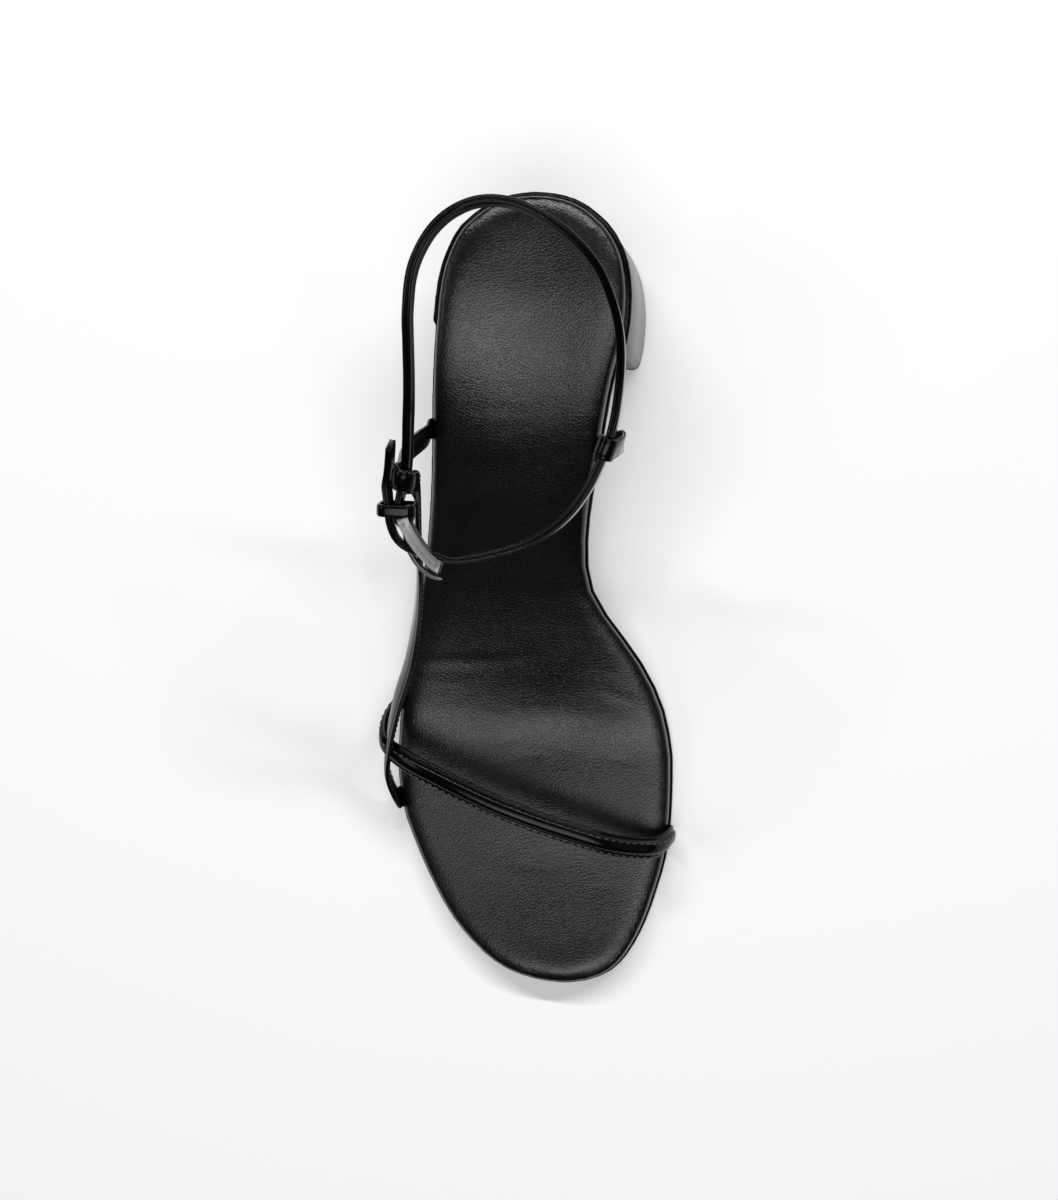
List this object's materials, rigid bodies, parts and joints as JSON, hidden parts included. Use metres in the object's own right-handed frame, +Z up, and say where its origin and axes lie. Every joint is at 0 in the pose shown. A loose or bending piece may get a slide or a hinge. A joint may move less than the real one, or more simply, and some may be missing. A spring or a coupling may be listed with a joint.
{
  "type": "heeled sandal",
  "caption": "Right shoe of a pair of black leather sandals with a low block heel, a toe strap, a lateral strap, a medial loop and a buckled ankle strap.",
  "frame": {"origin": "on the ground under the middle of the shoe's bounding box", "axes": "+Z up, -Y towards the toes, +Y towards the heel, +X towards the arch (medial) side; in metres"},
  "size_m": [0.0909, 0.2385, 0.135],
  "materials": {
    "black_leather": "smooth black leather with a satin gloss",
    "footbed_leather": "smooth black lining leather with a soft sheen",
    "black_rubber": "matt black rubber",
    "gunmetal": "grey polished metal"
  },
  "bodies": {
    "root": {"outsole": "black_leather", "heel_block": "black_leather", "heel_top_piece": "black_rubber", "insole": "footbed_leather", "upper": "black_leather", "medial_loop": "black_leather", "ankle_strap": "black_leather", "keeper": "black_leather", "buckle_frame": "gunmetal", "buckle_prong": "gunmetal"}
  },
  "joints": []
}
